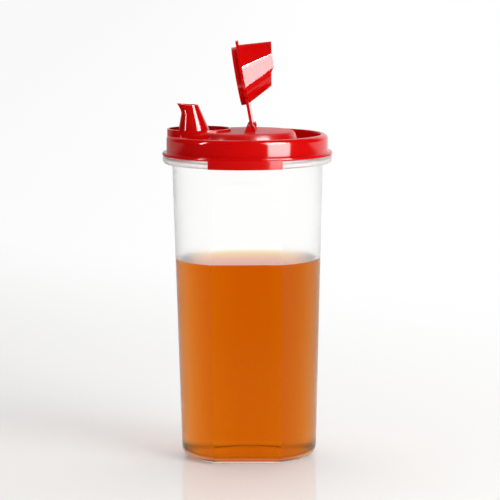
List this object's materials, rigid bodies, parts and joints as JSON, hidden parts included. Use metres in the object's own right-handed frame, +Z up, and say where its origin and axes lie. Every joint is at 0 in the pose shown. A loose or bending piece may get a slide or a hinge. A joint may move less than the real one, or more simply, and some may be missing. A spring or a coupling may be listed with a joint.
{
  "type": "sauce bottle",
  "caption": "Tapered round table bottle with a flat clear window, a press-on lid with a pouring spout in a drip well, and a hooded flip cap on a snap hinge.",
  "frame": {"origin": "centre of the bottle's flat base, on the axis of the round bottle, on the surface it stands on", "axes": "+Z up the bottle's axis; the flat window and the lid's pull tab face -Y; the spout points to -X; the cap's hinge pin runs along Y"},
  "size_m": [0.1102, 0.1114, 0.2709],
  "materials": {
    "frosted_plastic": "translucent moulded plastic, frosted outside, polished clear on the flat window",
    "sauce": "clear amber liquid",
    "red_plastic": "glossy moulded"
  },
  "bodies": {
    "bottle": {"bottle": "frosted_plastic", "sauce": "sauce"},
    "lid": {"lid": "red_plastic"},
    "flip_cap": {"flip_cap": "red_plastic"}
  },
  "joints": [
    {"name": "lid_lift", "type": "slide", "parent": "bottle", "child": "lid", "axis": [0, 0, 1], "range_m": [0, 0.03]},
    {"name": "cap_flip", "type": "hinge", "parent": "lid", "child": "flip_cap", "pos_m": [0.0028, 0, 0.2149], "axis": [0, 1, 0], "range_deg": [-80, 60]}
  ]
}
